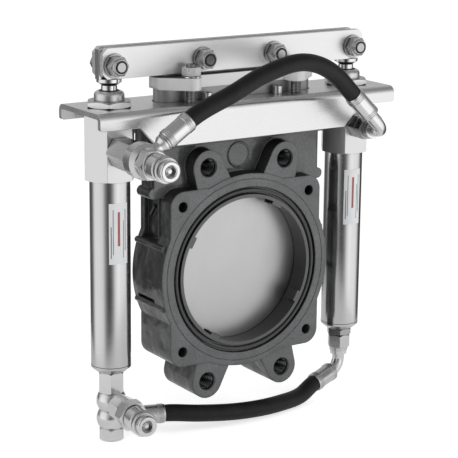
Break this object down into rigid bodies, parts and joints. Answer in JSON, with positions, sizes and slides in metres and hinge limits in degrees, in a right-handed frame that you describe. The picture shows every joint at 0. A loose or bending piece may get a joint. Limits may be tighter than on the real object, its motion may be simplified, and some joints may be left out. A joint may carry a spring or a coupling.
{
  "type": "hydraulic knife gate valve",
  "caption": "Lugged wafer knife gate valve whose flat gate is lifted by a crossbar between two hydraulic cylinders, with hoses and quick couplings.",
  "frame": {"origin": "centre of the flow bore, halfway between the two sealing faces, which is also the centre of the pipeline bolt holes", "axes": "flow along Y, gate lifts along +Z, the two cylinders stand at -X and +X; -Y is the side with the quick couplings"},
  "size_m": [0.349, 0.1698, 0.3951],
  "materials": {
    "painted_iron": "satin dark grey paint over a sand casting",
    "seat_steel": "turned, dull",
    "black_rubber": "matte",
    "packing_braid": "greased braid",
    "brushed_steel": "turned or ground, satin",
    "stainless_sheet": "bright rolled stainless",
    "zinc_steel": "bright zinc plate",
    "chromed_rod": "polished hard chrome",
    "bronze": "turned",
    "brass": "turned",
    "hose_rubber": "matte wrapped cover"
  },
  "bodies": {
    "valve_body": {"body_casting": "painted_iron", "seat_ring_front": "seat_steel", "seat_ring_rear": "seat_steel", "gate_seal_front": "black_rubber", "gate_seal_rear": "black_rubber", "flange_seal_front": "black_rubber", "flange_seal_rear": "black_rubber", "packing": "packing_braid", "gland_follower": "brushed_steel", "gland_flange": "brushed_steel", "gland_studs": "zinc_steel", "gland_nuts": "zinc_steel", "gland_washers": "zinc_steel", "mounting_plate": "stainless_sheet", "plate_screws": "zinc_steel", "cylinder_head_left": "brushed_steel", "cylinder_head_right": "brushed_steel", "cylinder_tube_left": "brushed_steel", "cylinder_tube_right": "brushed_steel", "end_cap_left": "brushed_steel", "end_cap_right": "brushed_steel", "rod_bush_left": "bronze", "rod_bush_right": "bronze", "rod_wiper_left": "black_rubber", "rod_wiper_right": "black_rubber", "lock_nut_left": "zinc_steel", "lock_nut_right": "zinc_steel", "upper_left_adaptor": "zinc_steel", "upper_banjo_eye": "zinc_steel", "upper_nipple": "zinc_steel", "bonded_seals": "zinc_steel", "upper_left_ferrule": "zinc_steel", "upper_hose": "hose_rubber", "upper_right_ferrule": "zinc_steel", "upper_elbow": "zinc_steel", "upper_swivel_nut": "zinc_steel", "upper_right_adaptor": "zinc_steel", "lower_left_adaptor": "zinc_steel", "lower_coupler_eye": "zinc_steel", "lower_hose_eye": "zinc_steel", "lower_banjo_bolt": "zinc_steel", "lower_nipple": "zinc_steel", "lower_left_ferrule": "zinc_steel", "lower_hose": "hose_rubber", "lower_right_ferrule": "zinc_steel", "lower_elbow": "zinc_steel", "lower_swivel_nut": "zinc_steel", "lower_right_adaptor": "zinc_steel"},
    "gate_assembly": {"gate": "brushed_steel", "crossbar_front": "stainless_sheet", "crossbar_rear": "stainless_sheet", "crossbar_bolts": "zinc_steel", "crossbar_nuts": "zinc_steel", "crossbar_washers": "zinc_steel", "rod_left": "chromed_rod", "rod_right": "chromed_rod", "piston_left": "brushed_steel", "piston_right": "brushed_steel"},
    "upper_poppet_body": {"upper_poppet": "brass"},
    "lower_poppet_body": {"lower_poppet": "brass"}
  },
  "joints": [
    {"name": "gate_lift", "type": "slide", "parent": "valve_body", "child": "gate_assembly", "axis": [0, 0, 1], "range_m": [0, 0.16]},
    {"name": "upper_poppet_press", "type": "slide", "parent": "valve_body", "child": "upper_poppet_body", "axis": [0.0698, 0.9976, 0], "range_m": [0, 0.005], "stiffness_N_per_m": 1500, "springref_m": -0.004},
    {"name": "lower_poppet_press", "type": "slide", "parent": "valve_body", "child": "lower_poppet_body", "axis": [0.1045, 0.9945, 0], "range_m": [0, 0.005], "stiffness_N_per_m": 1500, "springref_m": -0.004}
  ]
}
